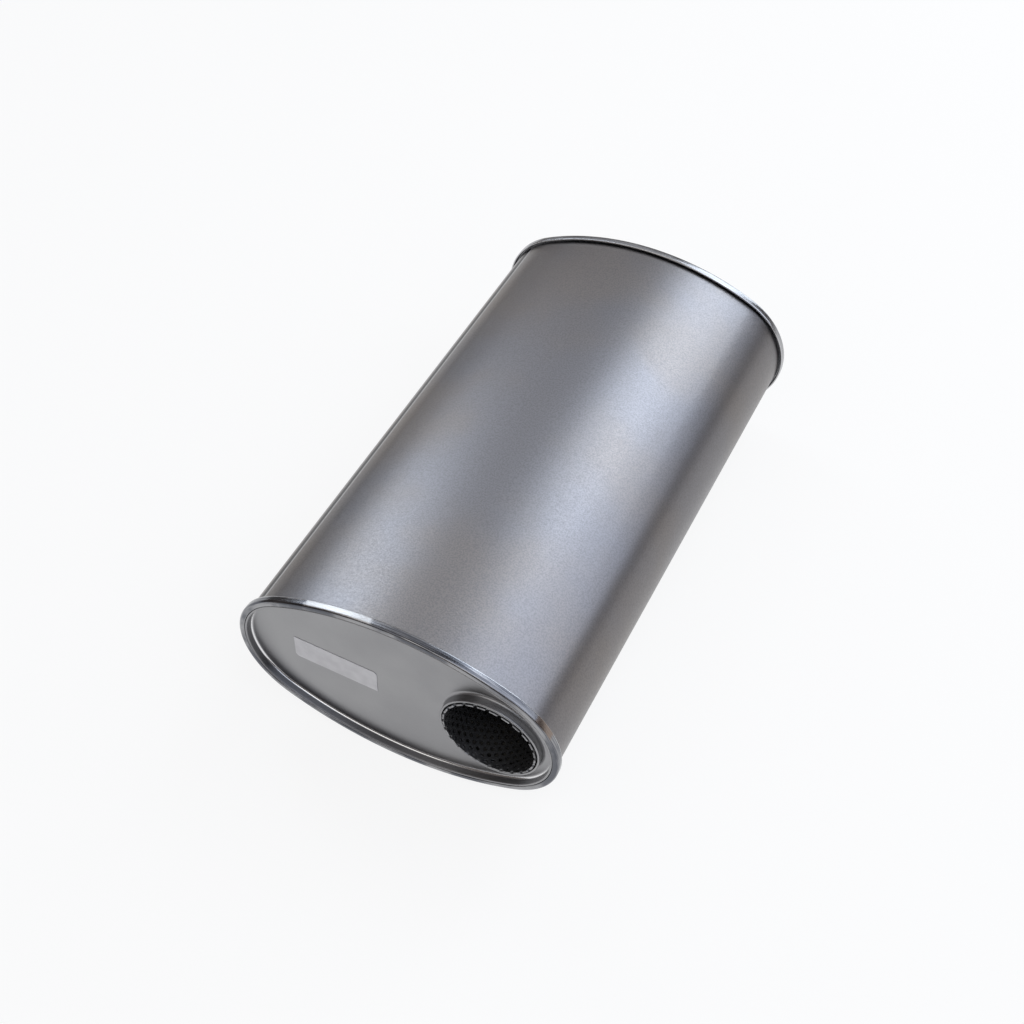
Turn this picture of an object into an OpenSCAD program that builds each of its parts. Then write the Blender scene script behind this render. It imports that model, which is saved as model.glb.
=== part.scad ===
// Oval absorption muffler: a wrapped sheet body with curled rims, two pressed
// end plates, and a perforated tube that runs straight through the packing,
// off centre at the front (-Y) and on the centre line at the back (+Y).
// The body lies on its wide side. X runs along the oval's long axis, Y along
// the exhaust, Z up. Millimetres.

/* [Body] */
// Width of the oval, over the rims
body_w = 170; // [150:1:200]
// Thickness of the oval, over the rims
body_t = 103; // [96:1:115]
// Radius of the oval's narrow ends, over the rims
end_r = 41; // [38:1:45]
// Length of the body, over the rims
body_l = 294; // [240:1:420]
// Thickness of the body sheet
shell_sheet = 1; // [0.8:0.1:1.2]

/* [Rims] */
// Width of the rim's curl across the sheet, from the bore of the body outwards
curl_w = 3.5; // [3.4:0.1:4.5]
// Length of the rim along the body
curl_l = 4; // [3.5:0.1:7]

/* [Lock seam] */
// Width of the raised strip along the body
seam_w = 9; // [6:0.5:12]
// Height of the seam above the narrow end's middle, as an angle round that end
seam_angle = 20; // [-20:1:40]
// Slit between the strip's free edge and the sheet under it
seam_slit = 0.2; // [0.1:0.05:0.4]

/* [End plates] */
// Thickness of the plate sheet
plate_sheet = 1.2; // [1:0.1:1.5]
// Depth of the panel's face behind the rim
recess = 4.4; // [3:0.1:12]
// Radius between the panel and the flange or neck, on the outside
press_r = 1.5; // [1:0.1:2.5]
// Distance that the flange's edge lies behind the rim's front
flange_back = 0.2; // [0:0.1:0.8]
// Distance that the neck's edge lies behind the tube's end
neck_back = 0.3; // [0:0.1:0.8]

/* [Tube] */
// Inside diameter of the tube, for a 45 mm pipe
tube_bore = 46; // [40:0.5:48]
// Wall of the tube
tube_wall = 1.2; // [1:0.1:1.5]
// Distance of the front mouth from the middle of the oval
tube_offset = 50.2; // [20:0.2:51]
// Length that the tube stands out of each rim
tube_proud = 1; // [0:0.5:5]
// Length of the straight stretch at each end
tube_straight = 30; // [20:1:60]
// Radius of the two bends, on the tube's axis
bend_r = 60; // [40:5:120]

/* [Perforation] */
// Diameter of the holes
hole_d = 3.5; // [2:0.5:4]
// Holes in one ring round the tube
ring_holes = 24; // [12:2:24]
// Distance between the rings along the tube
ring_pitch = 5.4; // [5:0.1:12]
// Rings of holes at each end of the tube, with the hidden middle left plain
end_rings = 6; // [1:1:12]

/* [Label] */
// Length of the label
label_l = 45; // [30:1:50]
// Height of the label
label_h = 15; // [8:1:20]
// Thickness of the label
label_t = 0.2; // [0.1:0.1:0.5]
// Radius of its two rounded corners
label_r = 2.2; // [1:0.2:4]
// Middle of the label from the middle of the oval, along X
label_x = -33.6; // [-45:0.2:-30]
// Middle of the label from the middle of the oval, along Z
label_z = 0.5; // [-15:0.5:15]
// Slope of the label, falling towards the tube
label_slope = 2.5; // [-5:0.5:5]

/* [Clearances] */
// Gap between the plate's flange and the body
flange_gap = 0.1; // [0.1:0.1:0.4]
// Gap between the tube and the neck of each plate
neck_gap = 0.2; // [0.1:0.1:0.4]
// Gap between the packing and the metal round it
packing_gap = 0.3; // [0.2:0.1:1]

/* [Hidden] */
$fn = 96;
hole_fn = 24;
arc_steps = 24;
cut = 1;

// The oval is drawn with four arcs: two wide sides and two narrow ends.
end_x = body_w / 2 - end_r;
half_t = body_t / 2;
side_r = (end_x * end_x + half_t * half_t - end_r * end_r) / (2 * (half_t - end_r));
side_z = side_r - half_t;
side_angle = atan2(end_x, side_z);

// Depths below the rim's outline, measured square to the oval.
curl_r = curl_w / 2;
shell_out = curl_w - shell_sheet;
shell_in = curl_w;
flange_out = shell_in + flange_gap;
flange_in = flange_out + plate_sheet;
packing_out = shell_in + packing_gap;

// Places along the body, from its middle.
front_y = -body_l / 2;
panel_y = front_y + recess;

// The tube's course: a straight end, a bend, a slant, the same bend the other
// way and a straight end. The bends' walls are a little thinner, and their ends
// are buried in the walls of the straight stretches.
tube_r = tube_bore / 2;
tube_out = tube_r + tube_wall;
neck_in = tube_out + neck_gap;
neck_out = neck_in + plate_sheet;
tube_l = body_l + 2 * tube_proud;
run_l = tube_l - 2 * tube_straight;
bend_reach = 2 * bend_r - tube_offset;
bend_angle = asin(2 * bend_r / norm([run_l, bend_reach])) - atan2(bend_reach, run_l);
bend_l = bend_r * bend_angle * PI / 180;
slant_l = (run_l - 2 * bend_r * sin(bend_angle)) / cos(bend_angle);
course_l = 2 * tube_straight + 2 * bend_l + slant_l;
bend_thin = 0.05;
bend_lap = 1;

// Points of an arc, with both of its ends.
function arc(centre, r, from, to, steps) = [
    for (i = [0 : steps])
        let (a = from + (to - from) * i / steps)
            centre + r * [cos(a), sin(a)]
];

// Points round the oval at one depth below the rim's outline, as [x, z].
function oval_ring(inset) = [
    for (side = [
        [[end_x, 0], end_r, side_angle - 90, 90 - side_angle],
        [[0, -side_z], side_r, 90 - side_angle, 90 + side_angle],
        [[-end_x, 0], end_r, 90 + side_angle, 270 - side_angle],
        [[0, side_z], side_r, 270 - side_angle, 270 + side_angle]
    ])
        for (i = [0 : arc_steps - 1])
            let (a = side[2] + (side[3] - side[2]) * i / arc_steps)
                side[0] + (side[1] - inset) * [cos(a), sin(a)]
];

// Sweeps a section round the oval. Its points are [depth, y]. A capped section
// is open: its first and last points are the edges of two flat oval faces.
module oval_sweep(section, capped = false) {
    stations = 4 * arc_steps;
    count = len(section);
    rows = capped ? count - 1 : count;
    points = [
        for (p = section)
            for (q = oval_ring(p[0]))
                [q[0], p[1], q[1]]
    ];
    sides = [
        for (i = [0 : rows - 1])
            for (j = [0 : stations - 1])
                let (i2 = (i + 1) % count, j2 = (j + 1) % stations)
                    [i * stations + j, i2 * stations + j, i2 * stations + j2, i * stations + j2]
    ];
    caps = [
        [for (j = [0 : stations - 1]) j],
        [for (j = [stations - 1 : -1 : 0]) (count - 1) * stations + j]
    ];
    polyhedron(points, capped ? concat(sides, caps) : sides, convexity = 6);
}

// The front half of the body sheet in section, from the outside of its wall
// round the open curl to the inside of its wall.
function curl_section() =
    let (
        curl_at = [curl_r, front_y + curl_r],
        edge_r = shell_sheet / 2,
        edge_at = [edge_r, front_y + curl_l - edge_r]
    )
        concat(
            arc(curl_at, curl_r - shell_sheet, 360, 180, 4),
            arc(edge_at, edge_r, 0, 180, 3),
            arc(curl_at, curl_r, 180, 360, 6)
        );

// The lock seam: a strip of the sheet's other edge laid over the body, with a
// free upper edge and a ramp down into the sheet along its lower edge.
module lock_seam() {
    seam_r = end_r - shell_out;
    seam_l = body_l - 2 * (curl_l + seam_slit);
    mm_angle = 180 / PI / seam_r;
    low = seam_angle - seam_w / 2 * mm_angle;
    high = seam_angle + seam_w / 2 * mm_angle;
    ramp = 2 * shell_sheet * mm_angle;
    translate([-end_x, -seam_l / 2, 0])
        rotate([-90, 180, 0])
            linear_extrude(seam_l)
                polygon(concat(
                    arc([0, 0], seam_r - shell_sheet / 2, low + ramp, low - ramp, 3),
                    arc([0, 0], seam_r + seam_slit + shell_sheet, low, high, 8),
                    arc([0, 0], seam_r + seam_slit, high, low + ramp, 8)
                ));
}

module shell() {
    front = curl_section();
    back = [for (i = [len(front) - 1 : -1 : 0]) [front[i][0], -front[i][1]]];
    color([0.62, 0.63, 0.66])
        translate([0, 0, half_t]) {
            oval_sweep(concat(front, back));
            lock_seam();
        }
}

// The pressed plate in section, from the back of the panel round the flange's
// edge to the front of the panel.
function plate_section() =
    let (
        bend_at = [flange_in + press_r, panel_y - press_r],
        edge_r = plate_sheet / 2,
        edge_at = [flange_out + edge_r, front_y + flange_back + edge_r]
    )
        concat(
            arc(bend_at, press_r + plate_sheet, 90, 180, 4),
            arc(edge_at, edge_r, 180, 360, 4),
            arc(bend_at, press_r, 180, 90, 4)
        );

// The neck in section: x is the distance from its axis, y = 0 the panel's face.
module neck_section() {
    bend_r = press_r + plate_sheet;
    edge_y = -recess - tube_proud + neck_back + plate_sheet / 2;
    translate([neck_out + press_r, -press_r])
        intersection() {
            difference() {
                circle(bend_r);
                circle(press_r);
            }
            translate([-bend_r, 0])
                square(bend_r);
        }
    translate([neck_in, edge_y])
        square([plate_sheet, -press_r - edge_y]);
    translate([neck_in + plate_sheet / 2, edge_y])
        circle(plate_sheet / 2);
}

module end_plate(neck_x) {
    difference() {
        oval_sweep(plate_section(), capped = true);
        translate([neck_x, panel_y - cut, 0])
            rotate([-90, 0, 0])
                cylinder(r = neck_out + press_r, h = plate_sheet + 2 * cut);
    }
    translate([neck_x, panel_y, 0])
        rotate([-90, 0, 0])
            rotate_extrude()
                neck_section();
}

module offset_end_plate() {
    color([0.52, 0.53, 0.55])
        translate([0, 0, half_t])
            end_plate(tube_offset);
}

module centre_end_plate() {
    color([0.52, 0.53, 0.55])
        translate([0, 0, half_t])
            mirror([0, 1, 0])
                end_plate(0);
}

// Places its children on the tube's axis, at a distance from the front mouth.
// They face away from the nearer mouth.
module at_distance(s) {
    past_bend = s - tube_straight - bend_l;
    if (s <= tube_straight)
        translate([tube_offset, s - tube_l / 2, 0])
            children();
    else if (s > course_l / 2)
        translate([tube_offset, 0, 0])
            rotate([0, 0, 180])
                at_distance(course_l - s)
                    children();
    else
        translate([tube_offset - bend_r, -run_l / 2, 0])
            rotate([0, 0, min(1, (s - tube_straight) / bend_l) * bend_angle])
                translate([bend_r, max(0, past_bend), 0])
                    children();
}

// A round rod along +Y.
module rod(r, length) {
    rotate([-90, 0, 0])
        cylinder(r = r, h = length);
}

// The course as a solid rod. Its bends are thinner by a small depth, and its
// ends run past the mouths by the given length.
module course(r, thin, past = 0) {
    lap_angle = bend_lap / bend_r * 180 / PI;
    for (mouth = [0, course_l])
        at_distance(mouth)
            translate([0, -past, 0])
                rod(r, past + tube_straight);
    for (bend = [tube_straight, course_l - tube_straight])
        at_distance(bend)
            translate([-bend_r, 0, 0])
                rotate([0, 0, -lap_angle])
                    rotate_extrude(angle = bend_angle + 2 * lap_angle)
                        translate([bend_r, 0])
                            circle(r - thin);
    at_distance(tube_straight + bend_l)
        rod(r, slant_l);
}

// One ring of holes round the Y axis, turned by a part of the holes' spacing.
module hole_ring(turn) {
    for (k = [0 : ring_holes - 1])
        rotate([0, (k + turn) * 360 / ring_holes, 0])
            translate([0, 0, tube_r - cut])
                cylinder(d = hole_d, h = tube_wall + 2 * cut, $fn = hole_fn);
}

// The mouths are cut through the middle of a ring of holes.
module perforated_tube() {
    rows = round(course_l / ring_pitch);
    color([0.45, 0.46, 0.48])
        translate([0, 0, half_t])
            difference() {
                course(tube_out, bend_thin);
                course(tube_r, -bend_thin, cut);
                for (row = [0 : rows])
                    if (min(row, rows - row) < end_rings)
                        at_distance(row * course_l / rows)
                            hole_ring(row % 2 / 2);
            }
}

module packing() {
    inner_y = panel_y + plate_sheet + packing_gap;
    color([0.78, 0.72, 0.50])
        translate([0, 0, half_t])
            difference() {
                translate([0, -inner_y, 0])
                    rotate([90, 0, 0])
                        linear_extrude(-2 * inner_y)
                            polygon(oval_ring(packing_out));
                course(tube_out + packing_gap, bend_thin);
            }
}

// Two of its corners are square and two are round.
module blank_label() {
    corner = [label_l / 2, label_h / 2];
    round_at = corner - [label_r, label_r];
    color([0.68, 0.68, 0.70])
        translate([label_x, panel_y, half_t + label_z])
            rotate([90, label_slope, 0])
                linear_extrude(label_t)
                    polygon(concat(
                        arc(round_at, label_r, 0, 90, 6),
                        [[-corner[0], corner[1]]],
                        arc(-round_at, label_r, 180, 270, 6),
                        [[corner[0], -corner[1]]]
                    ));
}

shell();
offset_end_plate();
centre_end_plate();
perforated_tube();
packing();
blank_label();
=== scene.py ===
import math

import bpy
import numpy as np
from mathutils import Euler, Matrix, Vector, noise


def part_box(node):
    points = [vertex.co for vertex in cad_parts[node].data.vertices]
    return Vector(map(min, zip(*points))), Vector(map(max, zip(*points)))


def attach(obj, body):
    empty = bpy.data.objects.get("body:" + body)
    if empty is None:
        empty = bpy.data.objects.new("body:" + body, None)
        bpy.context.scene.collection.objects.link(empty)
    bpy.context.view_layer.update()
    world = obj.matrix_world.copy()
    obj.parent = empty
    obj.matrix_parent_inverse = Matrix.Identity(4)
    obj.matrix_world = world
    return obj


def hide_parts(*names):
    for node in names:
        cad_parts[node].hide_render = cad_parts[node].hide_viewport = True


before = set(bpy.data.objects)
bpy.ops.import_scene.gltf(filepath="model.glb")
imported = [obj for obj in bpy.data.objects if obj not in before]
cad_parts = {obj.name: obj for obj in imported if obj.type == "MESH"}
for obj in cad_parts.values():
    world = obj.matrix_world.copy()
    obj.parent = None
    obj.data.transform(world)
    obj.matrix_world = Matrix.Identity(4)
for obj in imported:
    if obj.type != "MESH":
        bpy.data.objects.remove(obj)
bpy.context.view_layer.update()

shellLow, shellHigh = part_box("shell")
tubeLow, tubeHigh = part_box("perforated_tube")
midZ = (shellLow.z + shellHigh.z) / 2   # the oval's centre line lies at this height

# the body sheet and its rims, in metres
shellSizes = {
    "width": shellHigh.x - shellLow.x,
    "height": shellHigh.z - shellLow.z,
    "length": shellHigh.y - shellLow.y,
    "endRadius": 0.041,       # the oval's narrow ends, over the rims
    "sheet": 0.001,
    "curlWidth": 0.0031,
    "curlLength": 0.0042,
    "curlRadius": 0.0013,     # the curl's outer corner
    "seatRadius": 0.0005,     # the curl's corner beside the plate
    "curlSteps": (10, 8, 10, 6),  # inside bend, cut edge, outer corner and seat
    "stations": 288,          # points round the oval, and some more beside the seam
    "wallRows": 42,           # rows along the wall
    "waveDepth": 0.00012,     # how far the wall wanders in and out
    "waveScale": 9.0,
    "waveStretch": 0.45,      # it wanders more slowly lengthwise
    "waveFade": 0.03,         # and dies away towards the rims
}

seamSizes = {
    "angle": 44.3,            # degrees above the narrow end's middle
    "foldWidth": 0.009,       # the folded strip on the inside
    "foldDepth": 0.0015,
    "foldSteps": 10,
    "foldCorner": 0.0004,     # stations this far outside the fold's edges
    "stationGap": 0.0003,     # the even stations keep this far from the seam's own
    # the groove under the sheet's edge: millimetres down round the wall, and its depth
    "groove": [(-1.4, 0), (-1.25, 0.04), (-1.12, 0.14), (-1.03, 0.3), (-0.95, 0.45), (-0.8, 0.54),
               (-0.4, 0.56), (0.2, 0.52), (1.0, 0.43), (2.0, 0.3), (3.0, 0.17), (3.8, 0.08),
               (4.2, 0.04), (5.4, 0)],
    "grooveEnd": 0.0035,      # where it stops under the curl, from the rim's front
    "grooveRunOut": 0.0006,   # and the length over which it does
}

plateSizes = {
    "sheet": 0.0012,
    "recess": 0.0044,         # panel face behind the rim
    "pressRadius": 0.0015,
    "flangeGap": 0.0001,
    "flangeBack": 0.0001,     # flange edge behind the rim
    "neckBack": 0.0003,       # neck edge behind the tube's end
    "bendSteps": 8,
}

tubeSizes = {
    "bore": 0.046,
    "wall": 0.0009,
    "offset": 0.0502,         # front mouth from the middle of the oval
    "straight": 0.030,
    "bendRadius": 0.060,
    "neckGap": 0.0005,
    "length": tubeHigh.y - tubeLow.y,
    "columns": 48,            # holes lie in lengthwise columns, each shifted by half a pitch
    "pitch": 0.0036,
    "hole": 0.0021,
    "roundSteps": 12,         # sides of a hole near the mouths
    "plainSteps": 6,          # sides of a hole out of sight
    "roundDepth": 0.050,
}

packingSizes = {
    "gap": 0.0003,
    "rows": 60,
    "fuzz": 0.0006,           # how far the wool's surface wanders
    "fuzzScale": 420.0,
    "notchGap": 0.0005,       # room on each side of the seam's fold
    "axisSteps": 400,
    "sharpAngle": 60.0,
}


def arcPoints(centre, radius, start, end, steps):
    angles = np.radians(np.linspace(start, end, steps + 1))
    return [(centre[0] + radius * math.cos(a), centre[1] + radius * math.sin(a)) for a in angles]


def ovalStations(sizes):
    # four arcs, with stations spaced evenly along the rim's outline
    halfW, halfT, endR = sizes["width"] / 2, sizes["height"] / 2, sizes["endRadius"]
    endX = halfW - endR
    sideR = (endX ** 2 + halfT ** 2 - endR ** 2) / (2 * (halfT - endR))
    sideZ = sideR - halfT
    sideAngle = math.atan2(endX, sideZ)
    quarter = math.pi / 2
    arcs = [
        (0.0, -sideZ, sideR, quarter - sideAngle, quarter + sideAngle),
        (-endX, 0.0, endR, quarter + sideAngle, 3 * quarter - sideAngle),
        (0.0, sideZ, sideR, 3 * quarter - sideAngle, 3 * quarter + sideAngle),
        (endX, 0.0, endR, 3 * quarter + sideAngle, 5 * quarter - sideAngle),
    ]
    lengths = [r * (b - a) for _, _, r, a, b in arcs]
    spots = np.arange(sizes["stations"]) / sizes["stations"] * sum(lengths)
    # the seam has stations of its own
    _, _, r, a, _ = arcs[1]
    middle = lengths[0] + r * (math.pi - math.radians(seamSizes["angle"]) - a)
    edge, corner = seamSizes["foldWidth"] / 2, seamSizes["foldCorner"]
    offsets = [d / 1000 for d, _ in seamSizes["groove"]] + [-edge - corner, -edge, edge, edge + corner]
    extra = middle + np.array(offsets) * r / (r - sizes["curlWidth"] + sizes["sheet"])
    clear = [v for v in spots if min(abs(extra - v)) > seamSizes["stationGap"]]
    spots = np.sort(np.concatenate([clear, extra]))
    rows = []
    for spot in spots:
        k = 0
        while spot > lengths[k]:
            spot -= lengths[k]
            k += 1
        x, z, r, a, _ = arcs[k]
        rows.append((x, z, r, a + spot / r))
    return np.array(rows)


stations = ovalStations(shellSizes)

# how far each station lies from the seam's middle, down round the wall
wallRadius = shellSizes["endRadius"] - shellSizes["curlWidth"] + shellSizes["sheet"]
seamDistance = (stations[:, 3] - math.pi + math.radians(seamSizes["angle"])) * wallRadius
grooveDepth = np.interp(seamDistance, [d / 1000 for d, _ in seamSizes["groove"]],
                        [depth / 1000 for _, depth in seamSizes["groove"]])


def ovalRing(inset, y):
    # a ring of points at one depth below the rim's outline, or at a depth for each station
    reach = stations[:, 2] - inset
    x = stations[:, 0] + reach * np.cos(stations[:, 3])
    z = stations[:, 1] + reach * np.sin(stations[:, 3]) + midZ
    return np.column_stack([x, np.full(len(x), y), z])


def ringMesh(name, rings, closed=True):
    # joins equal rings of points into a sheet, closed on itself or with a flat face at each end
    count, around = len(rings), len(rings[0])
    points = np.concatenate(rings)
    last = count if closed else count - 1
    faces = []
    for i in range(last):
        a, b = i * around, (i + 1) % count * around
        for j in range(around):
            k = (j + 1) % around
            faces.append((a + j, a + k, b + k, b + j))
    if not closed:
        faces.append(tuple(range(around - 1, -1, -1)))
        faces.append(tuple(range((count - 1) * around, count * around)))
    return points, faces


def makePiece(name, parts, replaced, sharpAngle=35.0):
    # turns one or more (points, faces) islands into a piece that rides on the body
    points, faces, start = [], [], 0
    for partPoints, partFaces in parts:
        points.append(partPoints)
        faces.extend(tuple(v + start for v in face) for face in partFaces)
        start += len(partPoints)
    mesh = bpy.data.meshes.new(name)
    mesh.from_pydata(np.concatenate(points).tolist(), [], faces)
    mesh.validate()
    mesh.update()
    piece = bpy.data.objects.new(name, mesh)
    bpy.context.scene.collection.objects.link(piece)
    bpy.context.view_layer.objects.active = piece
    piece.select_set(True)
    bpy.ops.object.mode_set(mode="EDIT")
    bpy.ops.mesh.select_all(action="SELECT")
    bpy.ops.mesh.normals_make_consistent(inside=False)
    bpy.ops.object.mode_set(mode="OBJECT")
    piece.select_set(False)
    mesh.shade_smooth()
    mesh.set_sharp_from_angle(angle=math.radians(sharpAngle))
    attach(piece, "root")
    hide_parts(replaced)
    print(name, "has", len(mesh.polygons), "faces")
    return piece


# shell: the sheet's wall, a curl at each end and the lock seam's fold inside

def wallWave(ring):
    # the rolled sheet isn't quite true, and its highlights waver a little
    sizes = shellSizes
    fade = np.clip((sizes["length"] / 2 - abs(ring[0][1])) / sizes["waveFade"], 0, 1)
    if fade == 0:
        return ring
    out = ring.copy()
    for i, p in enumerate(ring):
        normal = np.array([math.cos(stations[i, 3]), 0, math.sin(stations[i, 3])])
        spot = Vector((p[0], p[1] * sizes["waveStretch"], p[2])) * sizes["waveScale"]
        out[i] = p + normal * noise.noise(spot) * sizes["waveDepth"] * fade
    return out


def curlSection(sizes):
    # from the outside of the wall round the open curl to the inside of the wall
    width, sheet = sizes["curlWidth"], sizes["sheet"]
    outerR, seatR = sizes["curlRadius"], sizes["seatRadius"]
    inside, cut, corner, seat = sizes["curlSteps"]
    front = -sizes["length"] / 2
    edge = (sheet / 2, front + sizes["curlLength"] - sheet / 2)
    return (arcPoints((width / 2, front + width / 2), width / 2 - sheet, 360, 180, inside)
            + arcPoints(edge, sheet / 2, 0, 180, cut)
            + arcPoints((outerR, front + outerR), outerR, 180, 270, corner)
            + arcPoints((width - seatR, front + seatR), seatR, 270, 360, seat))


def makeShell():
    sizes = shellSizes
    front = curlSection(sizes)
    back = [(d, -y) for d, y in reversed(front)]
    wallOut = sizes["curlWidth"] - sizes["sheet"]
    wallIn = sizes["curlWidth"]
    grooveEnd = sizes["length"] / 2 - seamSizes["grooveEnd"]
    along = np.linspace(-grooveEnd, grooveEnd, sizes["wallRows"])
    rings = [ovalRing(d, y) for d, y in front]
    rings += [wallWave(ovalRing(wallIn, y)) for y in along]
    rings += [ovalRing(d, y) for d, y in back]
    rings.append(ovalRing(wallOut, grooveEnd + seamSizes["grooveRunOut"]))
    rings += [wallWave(ovalRing(wallOut + grooveDepth, y)) for y in reversed(along)]
    rings.append(ovalRing(wallOut, -grooveEnd - seamSizes["grooveRunOut"]))
    return makePiece("bodyShell", [ringMesh("wall", rings), seamFold()], "shell")


def woolEnd():
    # the packing and the seam's fold end just behind the plates
    return shellSizes["length"] / 2 - plateSizes["recess"] - plateSizes["sheet"] - packingSizes["gap"]


def seamFold():
    sizes, shell = seamSizes, shellSizes
    inside = shell["endRadius"] - shell["curlWidth"]
    endX = shell["width"] / 2 - shell["endRadius"]
    turn = math.degrees(sizes["foldWidth"] / 2 / inside)
    low, high = sizes["angle"] - turn, sizes["angle"] + turn
    bedding = shell["sheet"] / 4   # the fold's back lies inside the wall
    section = (arcPoints((0, 0), inside + bedding, low, high, sizes["foldSteps"])
               + arcPoints((0, 0), inside - sizes["foldDepth"], high, low, sizes["foldSteps"]))
    rings = [np.array([(-endX - u, y, midZ + v) for u, v in section]) for y in (-woolEnd(), woolEnd())]
    return ringMesh("fold", rings, closed=False)


# end plates: flange, flat panel and neck pressed from one sheet

def makePlate(name, side, neckX, replaced):
    # side is -1 at the front and 1 at the back
    sizes, tube = plateSizes, tubeSizes
    sheet, press = sizes["sheet"], sizes["pressRadius"]
    front = -shellSizes["length"] / 2
    panel = front + sizes["recess"]
    flangeOut = shellSizes["curlWidth"] + sizes["flangeGap"]
    bend = (flangeOut + sheet + press, panel - press)
    edge = (flangeOut + sheet / 2, front + sizes["flangeBack"] + sheet / 2)
    neckIn = tube["bore"] / 2 + tube["wall"] + tube["neckGap"]
    neckOut = neckIn + sheet
    neckBend = (neckOut + press, panel - press)
    neckEdge = (neckIn + sheet / 2, -tube["length"] / 2 + sizes["neckBack"] + sheet / 2)
    steps = sizes["bendSteps"]
    flangeRows = (arcPoints(bend, press + sheet, 90, 180, steps)
                  + arcPoints(edge, sheet / 2, 180, 360, steps)
                  + arcPoints(bend, press, 180, 90, steps))
    neckRows = (arcPoints(neckBend, press, 90, 180, steps)
                + arcPoints(neckEdge, sheet / 2, 360, 180, steps)
                + arcPoints(neckBend, press + sheet, 180, 90, steps))
    rings = [ovalRing(d, y) for d, y in flangeRows]
    # each station's place on the neck is straight across the panel from the neck's axis
    rim = rings[-1]
    turn = np.arctan2(rim[:, 2] - midZ, rim[:, 0] - neckX)
    for r, y in neckRows:
        rings.append(np.column_stack([neckX + r * np.cos(turn), np.full(len(turn), y),
                                      midZ + r * np.sin(turn)]))
    for ring in rings:
        ring[:, 1] *= -side
    return makePiece(name, [ringMesh(name, rings)], replaced)


# tube: its course is two straight ends, two bends and a slant between them

def makeCourse(tube):
    run = tube["length"] - 2 * tube["straight"]
    bendR, offset = tube["bendRadius"], tube["offset"]
    reach = 2 * bendR - offset
    angle = math.asin(2 * bendR / math.hypot(run, reach)) - math.atan2(reach, run)
    slant = (run - 2 * bendR * math.sin(angle)) / math.cos(angle)
    total = 2 * tube["straight"] + 2 * bendR * angle + slant
    return run, angle, slant, total


courseRun, bendAngle, slantLength, courseLength = makeCourse(tubeSizes)


def courseAt(s):
    # the axis point and the turn of the tube at a distance from the front mouth
    tube = tubeSizes
    if s > courseLength / 2:
        x, y, turn = courseAt(courseLength - s)
        return tube["offset"] - x, -y, turn
    if s <= tube["straight"]:
        return tube["offset"], s - tube["length"] / 2, 0.0
    bendR = tube["bendRadius"]
    turn = min((s - tube["straight"]) / bendR, bendAngle)
    past = s - tube["straight"] - bendR * turn
    x = tube["offset"] - bendR * (1 - math.cos(turn)) - past * math.sin(turn)
    y = -courseRun / 2 + bendR * math.sin(turn) + past * math.cos(turn)
    return x, y, turn


def tubePoint(radius, around, s):
    # around is an angle round the tube's axis
    x, y, turn = courseAt(s)
    out = radius * math.cos(around)
    return (x + out * math.cos(turn), y + out * math.sin(turn), midZ + radius * math.sin(around))


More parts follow.
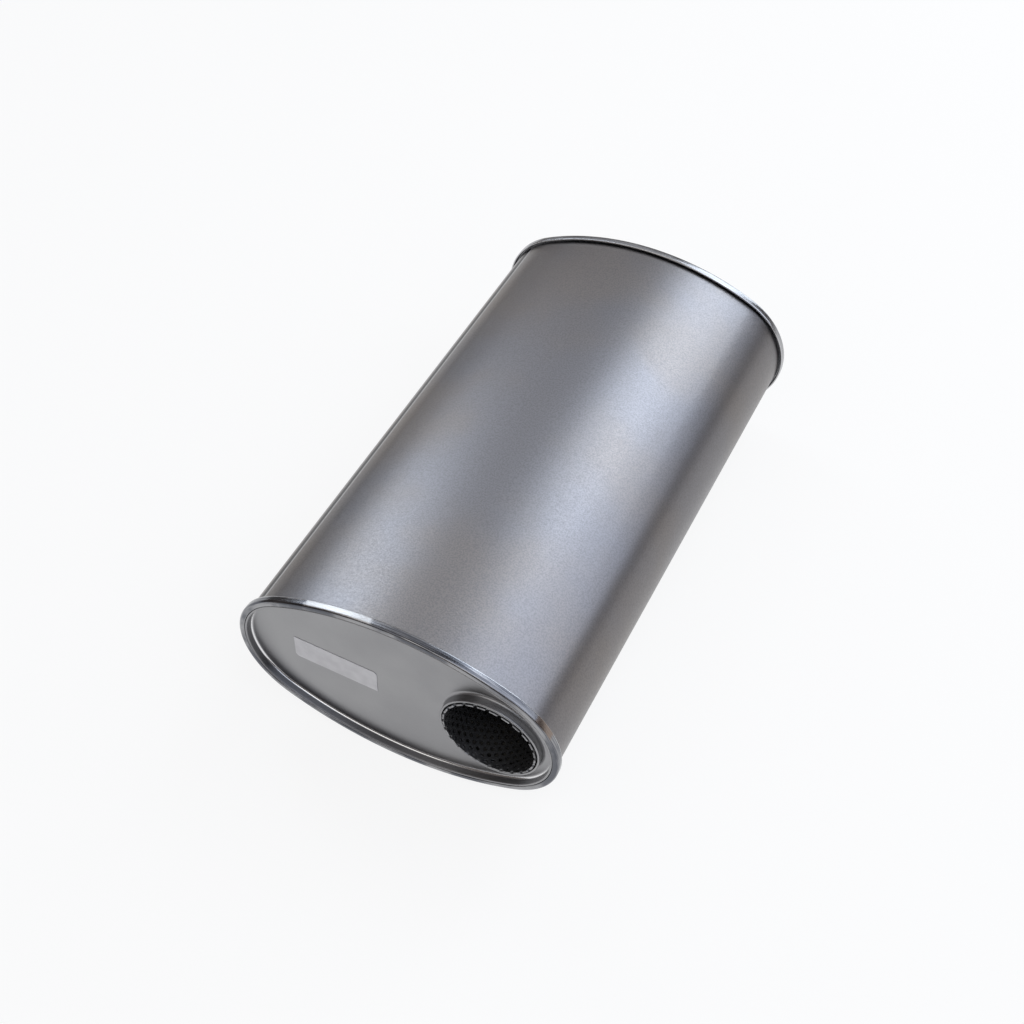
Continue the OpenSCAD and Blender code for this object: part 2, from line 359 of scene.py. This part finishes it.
def makeTube():
    tube = tubeSizes
    columns = tube["columns"]
    inner, outer = tube["bore"] / 2, tube["bore"] / 2 + tube["wall"]
    rows = round(courseLength / tube["pitch"])
    pitch = courseLength / rows
    cell = 2 * math.pi / columns
    holeTurn = tube["hole"] / 2 / ((inner + outer) / 2)
    points, index, faces = [], {}, []

    def corner(radius, column, halves):
        # corners of the cells lie on whole and half pitches, and neighbours share them
        key = (radius, column % columns, halves)
        if key not in index:
            index[key] = len(points)
            points.append(tubePoint(radius, (column - 0.5) * cell, halves * pitch / 2))
        return index[key]

    def cellFaces(column, centre, low, high):
        # a cell between two half pitches with its hole, whole or cut in half by a mouth
        s = centre * pitch / 2
        near = min(s, courseLength - s) < tube["roundDepth"]
        steps = tube["roundSteps"] if near else tube["plainSteps"]
        whole = high - low == 2
        if whole:
            angles = np.arange(steps) / steps * 2 * math.pi + (0 if near else math.pi / 6)
        else:
            start = 0 if low == centre else math.pi
            angles = start + np.linspace(0, math.pi, steps // 2 + 1)
        loops = []
        for radius in (inner, outer):
            first = len(points)
            for a in angles:
                points.append(tubePoint(radius, column * cell + holeTurn * math.cos(a),
                                        s + tube["hole"] / 2 * math.sin(a)))
            hole = list(range(first, first + len(angles)))
            if whole:
                border = [(1, centre), (1, high), (0, high), (0, centre), (0, low), (1, low)]
            elif low == centre:
                border = [(1, low), (1, high), (0, high), (0, low)]
            else:
                border = [(0, high), (0, low), (1, low), (1, high)]
            border = [corner(radius, column + c, h) for c, h in border]
            loops.append((hole, border))
        for side, (hole, border) in enumerate(loops):
            fill = joinLoops(hole, border, whole)
            faces.extend(fill if side else [face[::-1] for face in fill])
        first, second = loops[0][0], loops[1][0]
        pairs = len(first) if whole else len(first) - 1
        for i in range(pairs):
            j = (i + 1) % len(first)
            faces.append((first[i], first[j], second[j], second[i]))
        if not whole:
            # the cut edge on both sides of the half hole
            for mine in (0, -1):
                faces.append((loops[0][0][mine], loops[1][0][mine], loops[1][1][mine], loops[0][1][mine]))

    def joinLoops(hole, border, whole):
        # triangles between the hole and the border, going round both at the same pace
        out = []
        n, m = len(hole), len(border)
        stepsN, stepsM = (n, m) if whole else (n - 1, m - 1)
        i = j = 0
        while i < stepsN or j < stepsM:
            if j == stepsM or (i < stepsN and (i + 1) / stepsN <= (j + 0.5) / stepsM + 0.5 / stepsM):
                out.append((hole[i % n], border[j % m], hole[(i + 1) % n]))
                i += 1
            else:
                out.append((hole[i % n], border[j % m], border[(j + 1) % m]))
                j += 1
        return out

    for column in range(columns):
        if column % 2:
            for row in range(rows):
                cellFaces(column, 2 * row + 1, 2 * row, 2 * row + 2)
            for end in (0, 2 * rows):
                # the whole cell's cut edge at each mouth
                a, b = (corner(r, column, end) for r in (inner, outer))
                c, d = (corner(r, column + 1, end) for r in (outer, inner))
                faces.append((a, b, c, d))
        else:
            cellFaces(column, 0, 0, 1)
            for row in range(1, rows):
                cellFaces(column, 2 * row, 2 * row - 1, 2 * row + 1)
            cellFaces(column, 2 * rows, 2 * rows - 1, 2 * rows)
    return makePiece("perforatedTube", [(np.array(points), faces)], "perforated_tube")


# packing: wool that fills the body round the tube

def makePacking():
    sizes = packingSizes
    notch = abs(seamDistance) < seamSizes["foldWidth"] / 2 + sizes["notchGap"]
    inset = shellSizes["curlWidth"] + sizes["gap"] + notch * seamSizes["foldDepth"]
    end = woolEnd()
    radius = tubeSizes["bore"] / 2 + tubeSizes["wall"] + sizes["gap"]
    spots = np.linspace(-end, end, sizes["rows"])
    axis = np.array([courseAt(s)[:2] for s in np.linspace(0, courseLength, sizes["axisSteps"])])
    stretch = 1 / math.cos(bendAngle)
    rings = [ovalRing(inset, y) for y in spots]
    for y in reversed(spots):
        x = np.interp(y, axis[:, 1], axis[:, 0])
        ring = ovalRing(inset, y)
        turn = np.arctan2(ring[:, 2] - midZ, ring[:, 0] - x)
        for i, a in enumerate(turn):
            spot = Vector((x + radius * math.cos(a), y, radius * math.sin(a))) * sizes["fuzzScale"]
            r = radius + sizes["fuzz"] * abs(noise.noise(spot))
            ring[i] = (x + r * stretch * math.cos(a), y, midZ + r * math.sin(a))
        rings.append(ring)
    return makePiece("woolPacking", [ringMesh("packing", rings)], "packing",
                     sizes["sharpAngle"])


shellPiece = makeShell()
frontPlate = makePlate("frontPlate", -1, tubeSizes["offset"], "offset_end_plate")
backPlate = makePlate("backPlate", 1, 0.0, "centre_end_plate")
tubePiece = makeTube()
woolPiece = makePacking()
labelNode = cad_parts["blank_label"]
print("pieces made")


# shader maths: a wrapped socket takes part in sums, and each sum adds its Math node

class Wire:
    def __init__(self, paint, socket):
        self.paint = paint
        self.socket = socket

    def __add__(self, other):
        return self.paint.maths("ADD", self, other)

    def __sub__(self, other):
        return self.paint.maths("SUBTRACT", self, other)

    def __rsub__(self, other):
        return self.paint.maths("SUBTRACT", other, self)

    def __mul__(self, other):
        return self.paint.maths("MULTIPLY", self, other)

    __radd__ = __add__
    __rmul__ = __mul__


class Paint:
    # one material and the nodes in it
    def __init__(self, name):
        self.material = bpy.data.materials.new(name)
        self.material.use_nodes = True
        self.tree = self.material.node_tree
        self.tree.nodes.clear()
        self.shader = self.node("ShaderNodeBsdfPrincipled")
        self.output = self.node("ShaderNodeOutputMaterial")
        self.tree.links.new(self.shader.outputs["BSDF"], self.output.inputs["Surface"])
        self.coords = Wire(self, self.node("ShaderNodeTexCoord").outputs["Object"])

    def node(self, kind, settings=None, values=None):
        made = self.tree.nodes.new(kind)
        for key, value in (settings or {}).items():
            setattr(made, key, value)
        for key, value in (values or {}).items():
            self.feed(made.inputs[key], value)
        return made

    def feed(self, target, value):
        if isinstance(value, Wire):
            self.tree.links.new(value.socket, target)
        elif isinstance(value, (tuple, list)) and len(value) == 3 and len(target.default_value) == 4:
            target.default_value = (*value, 1)
        else:
            target.default_value = value

    def maths(self, operation, first, second=0.0):
        made = self.node("ShaderNodeMath", {"operation": operation}, {0: first, 1: second})
        return Wire(self, made.outputs[0])

    def set(self, **values):
        for key, value in values.items():
            self.feed(self.shader.inputs[key.replace("_", " ")], value)

    def step(self, value, start, end, low=0.0, high=1.0):
        # a soft step from low to high as value goes from start to end
        made = self.node("ShaderNodeMapRange", {"interpolation_type": "SMOOTHSTEP"},
                         {"Value": value, "From Min": start, "From Max": end,
                          "To Min": low, "To Max": high})
        return Wire(self, made.outputs["Result"])

    def band(self, value, start, end, soft):
        # 1 between start and end, with soft edges
        rise = self.step(value, start - soft, start + soft)
        return rise * self.step(value, end - soft, end + soft, 1.0, 0.0)

    def mix(self, factor, first, second):
        made = self.node("ShaderNodeMix", {"data_type": "RGBA"})
        self.feed(made.inputs[0], factor)
        self.feed(made.inputs[6], first)
        self.feed(made.inputs[7], second)
        return Wire(self, made.outputs[2])

    def noise(self, scale, detail=2.0, roughness=0.5, stretch=None):
        place = self.coords
        if stretch:
            made = self.node("ShaderNodeVectorMath", {"operation": "MULTIPLY"}, {0: place, 1: stretch})
            place = Wire(self, made.outputs[0])
        made = self.node("ShaderNodeTexNoise", None,
                         {"Vector": place, "Scale": scale, "Detail": detail, "Roughness": roughness})
        return Wire(self, made.outputs["Fac"])

    def size(self, value):
        return self.maths("ABSOLUTE", value)

    def places(self):
        made = self.node("ShaderNodeSeparateXYZ", None, {0: self.coords})
        return [Wire(self, made.outputs[i]) for i in range(3)]

    def bump(self, height, strength, distance):
        made = self.node("ShaderNodeBump", None,
                         {"Height": height, "Strength": strength, "Distance": distance})
        self.set(Normal=Wire(self, made.outputs["Normal"]))


# the body's wall: satin sheet, with painted shade darkening its narrow sides

shellPaint = {
    "cool": (0.312, 0.312, 0.334),
    "warm": (0.334, 0.314, 0.306),
    "clouds": (0.35, 0.65),           # the noise levels between cool and warm
    "cloudScale": 14.0,
    "fleckColour": (0.22, 0.22, 0.23),
    "flecks": (0.35, 0.70),
    "fleckShare": 0.60,
    "fleckScale": 1250.0,
    "grainScale": 900.0,
    "roughness": 0.36,
    "grainRoughness": 0.20,
    "cloudRoughness": 0.06,
    "bumpStrength": 0.45,
    "bumpDepth": 0.00005,
}

# pairs are where the effect starts and where it is full, from the side inwards
sidePaint = {
    # painted shade: the colour that darkens the wall along both narrow sides
    "sideShade": (0.06, 0.045, 0.035),
    "plainSide": (0.016, 0.009),
    "plainShare": 0.42,
    "seamSide": (0.026, 0.017),
    "seamShare": 0.48,
    "seamFar": 0.65,                  # what is left of that at the back end
    "warmReflectionTint": (0.300, 0.262, 0.235),   # painted reflection: a warm brown tint on the seam's half of the body
    "brownShare": 0.35,
    "brownStart": 0.01,               # x where it starts
    "brownFull": 0.03,
    "brownClouds": (0.3, 0.6, 0.4, 1.0),
    "brownFront": (0.02, 0.3),        # how far behind the front end it is thin, and how thin
    "brownBack": 0.04,                # y where it is full
}

# bands are distances down round the wall from the seam's middle
seamPaint = {
    "seamHighlight": (0.46, 0.46, 0.47),     # painted highlight: a bright band along the sheet's edge above the groove
    "seamHighlightBand": (-0.0029, -0.0013, 0.0003),
    "seamHighlightFlecks": (0.3, 0.6, 0.35, 0.8),
    "paintedShade": (0.04, 0.04, 0.045),     # painted shade in the groove
    "paintedShadeBand": (-0.0011, 0.0034, 0.0004),
    "paintedShadeShare": 0.9,
    "fade": 0.01,
}

rimPaint = {
    "dark": (0.105, 0.110, 0.127),
    "bright": (0.32, 0.32, 0.33),
    "streakScales": (55.0, 2400.0, 55.0),   # rolled streaks run round the rims
    "streaks": (0.36, 0.66),
    "patchScale": 42.0,
    "patches": (0.45, 0.7),
    "roughness": 0.17,
    "patchRoughness": 0.22,
    "inner": 0.0003,                  # the rim's paint ends this far inside the curl
    "backHighlightColour": (0.62, 0.62, 0.63),   # painted highlight: the back rim is painted lighter
    "backHighlightShare": 0.35,
    "cutColour": (0.60, 0.60, 0.61),  # the curl's cut edge is bare
    "cutDepth": (0.0008, 0.0002),
    "cutShare": 0.8,
    "outside": (0.0004, 0.0009),      # behind the curl's flat front
    "raggedScale": 260.0,
    "ragged": 0.004,
    "scrapeAndHighlight": (-0.043, -0.008, 0.0015),     # where the front rim is scraped and carries a painted highlight, along x
    "scrapeAndHighlightColour": (0.80, 0.80, 0.80),
    "scrapeAndHighlightShare": 0.9,
    "scrapeRise": 0.01,               # both fade in above the rim's middle
    "scrapeRoughness": 0.2,
    "scratchScale": 1800.0,
    "burn": (0.0733, 0.0805, 0.0006),       # where it is browned, along x
    "burnColour": (0.25, 0.19, 0.15),
    "burnShare": 0.75,
    "burnRise": 0.005,
}


def wallCoat(paint, x, y, z):
    # colour, roughness and height of the wall
    values, sides, seam = shellPaint, sidePaint, seamPaint
    cloud = paint.noise(values["cloudScale"], 3.0)
    grain = paint.noise(values["grainScale"], 2.0)
    fleck = paint.noise(values["fleckScale"], 2.0)
    halfL, halfW = shellSizes["length"] / 2, shellSizes["width"] / 2
    colour = paint.mix(paint.step(cloud, *values["clouds"]), values["cool"], values["warm"])
    flecks = paint.step(fleck, *values["flecks"], 0.0, values["fleckShare"])
    colour = paint.mix(flecks, colour, values["fleckColour"])

    # painted shade darkens the wall towards both narrow sides, more on the seam's side
    plainSide = paint.step(x, *(halfW - d for d in sides["plainSide"])) * sides["plainShare"]
    seamSide = paint.step(x, *(d - halfW for d in sides["seamSide"]))
    seamSide = seamSide * paint.step(y, -halfL, halfL, 1.0, sides["seamFar"])
    colour = paint.mix(plainSide + seamSide * sides["seamShare"], colour, sides["sideShade"])
    behind, thin = sides["brownFront"]
    # a painted warm reflection tints the seam's half of the body brown, in clouds, thinner at the front
    warmReflectionTint = paint.step(x, sides["brownStart"], sides["brownFull"] - halfW)
    warmReflectionTint = warmReflectionTint * paint.step(cloud, *sides["brownClouds"])
    warmReflectionTint = warmReflectionTint * paint.step(y, behind - halfL, sides["brownBack"], thin, 1.0)
    colour = paint.mix(warmReflectionTint * sides["brownShare"], colour, sides["warmReflectionTint"])

    lift = math.radians(seamSizes["angle"])
    endX = halfW - shellSizes["endRadius"]
    down = (-endX - x) * math.sin(lift) - (z - midZ) * math.cos(lift)
    nearSeam = paint.step(x, -endX, -endX - seam["fade"])
    # a painted highlight along the sheet's edge above the groove, broken by flecks
    seamHighlight = paint.band(down, *seam["seamHighlightBand"]) * nearSeam
    # painted shade darkens the groove under the sheet's edge
    paintedShade = paint.band(down, *seam["paintedShadeBand"]) * nearSeam
    colour = paint.mix(seamHighlight * paint.step(fleck, *seam["seamHighlightFlecks"]), colour, seam["seamHighlight"])
    colour = paint.mix(paintedShade * seam["paintedShadeShare"], colour, seam["paintedShade"])
    rough = values["roughness"] + values["grainRoughness"] * (grain - 0.5)
    rough = rough + values["cloudRoughness"] * (cloud - 0.5)
    return colour, rough, grain + 0.5 * fleck


def rimCoat(paint, x, y, z):
    # colour, roughness and height of the curls
    values = rimPaint
    halfL = shellSizes["length"] / 2
    streak = paint.noise(1.0, 3.0, 0.6, values["streakScales"])
    patch = paint.noise(values["patchScale"], 3.0)
    streaks = paint.step(streak + 0.5 * (patch - 0.5), *values["streaks"])
    colour = paint.mix(streaks, values["dark"], values["bright"])
    front = paint.step(y, 0.001, -0.001)
    # the back rim is painted lighter than the front, a painted highlight
    colour = paint.mix((1 - front) * values["backHighlightShare"], colour, values["backHighlightColour"])
    curlEnd = halfL - shellSizes["curlLength"]
    cutEdge = paint.step(paint.size(y), *(curlEnd + d for d in values["cutDepth"]))
    colour = paint.mix(cutEdge * values["cutShare"], colour, values["cutColour"])

    # the scrape with its painted highlight, and the burn, lie on the outside of the front curl
    ragged = values["ragged"] * (paint.noise(values["raggedScale"], 3.0) - 0.5)
    outside = front * paint.step(y, *(d - halfL for d in values["outside"]))
    # a bright patch, partly a real scrape and partly a painted highlight, on the rim's upper half
    scrapeAndHighlight = paint.band(x + ragged, *values["scrapeAndHighlight"]) * outside
    scrapeAndHighlight = scrapeAndHighlight * paint.step(z, midZ, midZ + values["scrapeRise"])
    burn = paint.band(x + 0.3 * ragged, *values["burn"]) * outside
    burn = burn * paint.step(z, midZ, midZ + values["burnRise"])
    colour = paint.mix(scrapeAndHighlight * values["scrapeAndHighlightShare"], colour, values["scrapeAndHighlightColour"])
    colour = paint.mix(burn * values["burnShare"], colour, values["burnColour"])
    rough = values["roughness"] + values["patchRoughness"] * paint.step(patch, *values["patches"]) * streak
    rough = rough + values["scrapeRoughness"] * scrapeAndHighlight
    scratches = paint.noise(values["scratchScale"], 3.0, 0.7)
    return colour, rough, 2.0 * streak + 1.5 * scrapeAndHighlight * scratches


def paintShell():
    paint = Paint("satinSheet")
    x, y, z = paint.places()
    wallColour, wallRough, wallHeight = wallCoat(paint, x, y, z)
    rimColour, rimRough, rimHeight = rimCoat(paint, x, y, z)
    # only the curls lie this near the ends
    curlEnd = shellSizes["length"] / 2 - shellSizes["curlLength"]
    rim = paint.step(paint.size(y), curlEnd - rimPaint["inner"], curlEnd)
    paint.set(Base_Color=paint.mix(rim, wallColour, rimColour), Metallic=1.0)
    paint.set(Roughness=wallRough * (1 - rim) + rimRough * rim)
    height = wallHeight * (1 - rim) + rimHeight * rim
    paint.bump(height, shellPaint["bumpStrength"], shellPaint["bumpDepth"])
    return paint.material


platePaint = {
    "base": (0.325, 0.325, 0.333),
    "stain": (0.285, 0.285, 0.295),
    "stains": (0.35, 0.7),
    "stainScale": 22.0,
    "roughness": 0.36,
    "grainRoughness": 0.10,
    "stainRoughness": 0.05,
    "grainScale": 1100.0,
    "panel": (0.079, 0.0456),         # the flat panel's half width and half height
    # painted shade along the panel's lower left edge
    "paintedShade": (0.10, 0.10, 0.11),
    "paintedShadeEdge": (0.66, 1.0),
    "paintedShadeBelow": (0.9, 0.1),
    "paintedShadeAcross": (0.35, -0.2),
    "paintedShadeShare": 0.55,
    # painted highlight on the bend between the panel and its flange
    "bend": (0.80, 0.80, 0.81),
    "bendRoughness": 0.18,
    "bendHighlightBand": (0.0003, 0.0009, 0.0002),   # in front of the panel
    "neckReach": (0.0262, 0.028),     # the neck's own bend gets no painted highlight
    "bumpStrength": 0.25,
    "bumpDepth": 0.00003,
}


def paintPlate():
    values = platePaint
    paint = Paint("mattePlate")
    x, y, z = paint.places()
    cloud = paint.noise(values["stainScale"], 3.0)
    grain = paint.noise(values["grainScale"], 2.0)
    colour = paint.mix(paint.step(cloud, *values["stains"]), values["base"], values["stain"])

    # painted shade darkens the panel along its lower left edge, under the recess wall
    halfX, halfZ = values["panel"]
    u, v = x * (1 / halfX), (z - midZ) * (1 / halfZ)
    paintedShade = paint.step(u * u + v * v, *values["paintedShadeEdge"])
    paintedShade = paintedShade * paint.step(v - 0.6 * u, *values["paintedShadeBelow"]) * paint.step(u, *values["paintedShadeAcross"])
    colour = paint.mix(paintedShade * values["paintedShadeShare"], colour, values["paintedShade"])

    # a painted highlight brightens the bend between the panel and its flange
    panelFace = shellSizes["length"] / 2 - plateSizes["recess"]
    across = x - tubeSizes["offset"] * paint.step(y, 0.001, -0.001)
    fromNeck = across * across + (z - midZ) * (z - midZ)
    bend = paint.band(paint.size(y) - panelFace, *values["bendHighlightBand"])
    bend = bend * paint.step(fromNeck, *(r ** 2 for r in values["neckReach"]))
    colour = paint.mix(bend, colour, values["bend"])
    rough = values["roughness"] + values["grainRoughness"] * (grain - 0.5)
    rough = rough + values["stainRoughness"] * (cloud - 0.5)
    paint.set(Base_Color=colour, Metallic=1.0)
    paint.set(Roughness=rough * (1 - bend) + values["bendRoughness"] * bend)
    paint.bump(grain, values["bumpStrength"], values["bumpDepth"])
    return paint.material


tubePaint = {
    "wall": (0.11, 0.11, 0.115),
    "edge": (0.36, 0.36, 0.37),
    "edgeDepth": 0.00015,
    "edgeWear": (0.35, 0.6, 0.25, 1.0),
    "wearScale": 500.0,
    "soot": (0.02, 0.02, 0.022),
    "soots": (0.4, 0.8, 0.0, 0.5),
    "sootScale": 300.0,
    "metallic": 0.8,
    "roughness": 0.45,
    "sootRoughness": 0.2,
    "bumpStrength": 0.3,
    "bumpDepth": 0.00005,
}


def paintTube():
    values = tubePaint
    paint = Paint("dullTube")
    y = paint.places()[1]
    mouth = tubeSizes["length"] / 2
    cutEdge = paint.step(paint.size(y), mouth - values["edgeDepth"], mouth - values["edgeDepth"] / 2)
    soot = paint.noise(values["sootScale"], 3.0)
    wear = paint.step(paint.noise(values["wearScale"], 2.0), *values["edgeWear"])
    colour = paint.mix(cutEdge * wear, values["wall"], values["edge"])
    colour = paint.mix(paint.step(soot, *values["soots"]), colour, values["soot"])
    paint.set(Base_Color=colour, Metallic=values["metallic"])
    paint.set(Roughness=values["roughness"] + values["sootRoughness"] * (soot - 0.5))
    paint.bump(soot, values["bumpStrength"], values["bumpDepth"])
    return paint.material


woolPaint = {
    # the wool is painted nearly black, as painted shade in the tube's holes
    "holeShadeDeep": (0.012, 0.011, 0.010),
    "holeShadeFibre": (0.045, 0.040, 0.032),
    "fibres": (0.3, 0.7),
    "fibreScale": 1400.0,
    "fibreStretch": (1.0, 0.25, 1.0),
    "roughness": 0.95,
    "bumpStrength": 0.8,
    "bumpDepth": 0.0004,
}


def paintWool():
    values = woolPaint
    paint = Paint("packedWool")
    fibres = paint.noise(values["fibreScale"], 4.0, 0.7, values["fibreStretch"])
    colour = paint.mix(paint.step(fibres, *values["fibres"]), values["holeShadeDeep"], values["holeShadeFibre"])
    paint.set(Base_Color=colour, Roughness=values["roughness"])
    paint.bump(fibres, values["bumpStrength"], values["bumpDepth"])
    return paint.material


labelPaint = {
    "light": (0.56, 0.555, 0.575),
    "shade": (0.50, 0.495, 0.515),
    "mottles": (0.3, 0.7),
    "mottleScale": 160.0,
    "metallic": 0.7,
    "roughness": 0.42,
    "mottleRoughness": 0.1,
    "bumpStrength": 0.1,
    "bumpDepth": 0.00004,
}


def paintLabel():
    values = labelPaint
    paint = Paint("plainFoil")
    mottle = paint.noise(values["mottleScale"], 3.0)
    colour = paint.mix(paint.step(mottle, *values["mottles"]), values["light"], values["shade"])
    paint.set(Base_Color=colour, Metallic=values["metallic"])
    paint.set(Roughness=values["roughness"] + values["mottleRoughness"] * (mottle - 0.5))
    paint.bump(mottle, values["bumpStrength"], values["bumpDepth"])
    return paint.material


shellPiece.data.materials.append(paintShell())
plateMaterial = paintPlate()
for plate in (frontPlate, backPlate):
    plate.data.materials.append(plateMaterial)
tubePiece.data.materials.append(paintTube())
woolPiece.data.materials.append(paintWool())
labelMaterial = paintLabel()
for slot in labelNode.material_slots:
    slot.material = labelMaterial
print("materials set")


# floor, lights and camera

floorPaint = {
    "colour": (0.9, 0.9, 0.9),
    "roughness": 0.9,
    "share": 0.86,            # how much of the plain white the camera and the metal see
    "reach": 6.0,             # half the floor's width
}


def paintFloor():
    paint = Paint("paleFloor")
    paint.set(Base_Color=floorPaint["colour"], Roughness=floorPaint["roughness"])
    ray = paint.node("ShaderNodeLightPath").outputs
    seen = Wire(paint, ray["Is Camera Ray"]) + Wire(paint, ray["Is Glossy Ray"])
    seen = seen + Wire(paint, ray["Is Transmission Ray"])
    white = paint.node("ShaderNodeEmission", None, {"Color": (1.0, 1.0, 1.0), "Strength": 1.0})
    blend = paint.node("ShaderNodeMixShader", None, {0: seen * floorPaint["share"]})
    paint.feed(blend.inputs[1], Wire(paint, paint.shader.outputs["BSDF"]))
    paint.feed(blend.inputs[2], Wire(paint, white.outputs["Emission"]))
    paint.feed(paint.output.inputs["Surface"], Wire(paint, blend.outputs["Shader"]))
    return paint.material


floorMesh = bpy.data.meshes.new("floor")
reach = floorPaint["reach"]
floorMesh.from_pydata([(-reach, -reach, 0), (reach, -reach, 0), (reach, reach, 0), (-reach, reach, 0)],
                      [], [(0, 1, 2, 3)])
floor = bpy.data.objects.new("floor", floorMesh)
bpy.context.scene.collection.objects.link(floor)
floorMesh.materials.append(paintFloor())

# azimuth runs from the back mouth's side towards +X; size is across and up, glow is the
# brightness that a mirror would show
softBoxes = {
    "backStrip": {"azimuth": 16.3, "elevation": 29, "roll": -3, "size": (0.48, 1.43), "glow": 2.95,
                  "colour": (0.82, 0.90, 1.0)},
    "sideStrip": {"azimuth": -61, "elevation": 39.5, "roll": 5, "size": (0.32, 0.8), "glow": 2.7,
                  "colour": (0.80, 0.89, 1.0)},
    "softSide": {"azimuth": -42, "elevation": 49, "roll": 42, "size": (1.0, 1.45), "glow": 0.55,
                 "colour": (0.9, 0.94, 1.0)},
    "broadBox": {"azimuth": 88, "elevation": 50, "roll": 80, "size": (1.55, 2.1), "glow": 1.42,
                 "colour": (0.80, 0.87, 1.0)},
    "frontBox": {"azimuth": 190, "elevation": 52, "roll": 0, "size": (1.3, 0.8), "glow": 1.1,
                 "colour": (1.0, 0.99, 0.97)},
}
softBoxDistance = 1.3


def makeSoftBoxes():
    for name, box in softBoxes.items():
        lamp = bpy.data.lights.new(name, "AREA")
        lamp.shape = "RECTANGLE"
        lamp.size, lamp.size_y = box["size"]
        lamp.energy = box["glow"] * box["size"][0] * box["size"][1] * math.pi
        lamp.color = box["colour"]
        holder = bpy.data.objects.new(name, lamp)
        bpy.context.scene.collection.objects.link(holder)
        side, height, roll = (math.radians(box[key]) for key in ("azimuth", "elevation", "roll"))
        level = math.cos(height)
        away = Vector((level * math.sin(side), level * math.cos(side), math.sin(height)))
        across = Vector((math.cos(side), -math.sin(side), 0))
        up = away.cross(across)
        right = across * math.cos(roll) + up * math.sin(roll)
        holder.location = away * softBoxDistance + Vector((0, 0, midZ))
        holder.rotation_euler = Matrix((right, away.cross(right), away)).transposed().to_euler()


makeSoftBoxes()

studioColour = (0.125, 0.11, 0.105, 1)   # a dim, warm room round the lamps

world = bpy.data.worlds.new("studio")
bpy.context.scene.world = world
world.use_nodes = True
background = world.node_tree.nodes["Background"]
background.inputs["Color"].default_value = studioColour
background.inputs["Strength"].default_value = 1.0

cameraView = {
    "location": (0.23218, -0.47194, 0.63496),
    "turns": (41.0583, 0.6263, 26.6773),      # degrees about x, y and z
    "lens": 52.945,
    "sensor": 36.0,
}

camera = bpy.data.objects.new("camera", bpy.data.cameras.new("camera"))
bpy.context.scene.collection.objects.link(camera)
camera.location = cameraView["location"]
camera.rotation_euler = Euler([math.radians(a) for a in cameraView["turns"]])
camera.data.lens = cameraView["lens"]
camera.data.sensor_width = cameraView["sensor"]
bpy.context.scene.camera = camera
bpy.context.scene.view_settings.view_transform = "Standard"
print("stage set")
